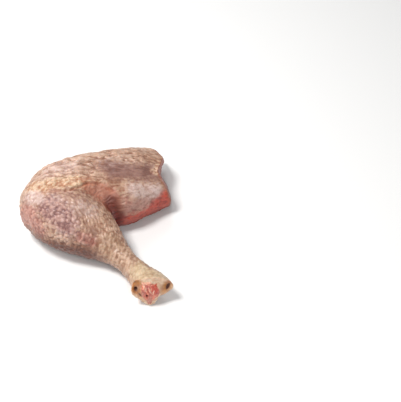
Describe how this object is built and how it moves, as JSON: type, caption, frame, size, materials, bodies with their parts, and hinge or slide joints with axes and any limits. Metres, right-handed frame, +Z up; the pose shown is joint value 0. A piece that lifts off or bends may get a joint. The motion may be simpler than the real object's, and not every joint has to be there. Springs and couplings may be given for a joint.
{
  "type": "raw chicken leg",
  "caption": "Raw chicken leg with drumstick and thigh in one piece, skin on and pimpled, bent at the knee, the shin bone showing in the cut hock.",
  "frame": {"origin": "middle of the bounding box, on the surface that the leg lies on", "axes": "+X towards the thigh's cut end, +Y from the cut hock towards the thigh, +Z up"},
  "size_m": [0.114, 0.146, 0.0509],
  "materials": {
    "skin_and_meat": "satin",
    "bone": "satin"
  },
  "bodies": {
    "root": {"leg": "skin_and_meat", "shin_bone": "bone"}
  },
  "joints": []
}
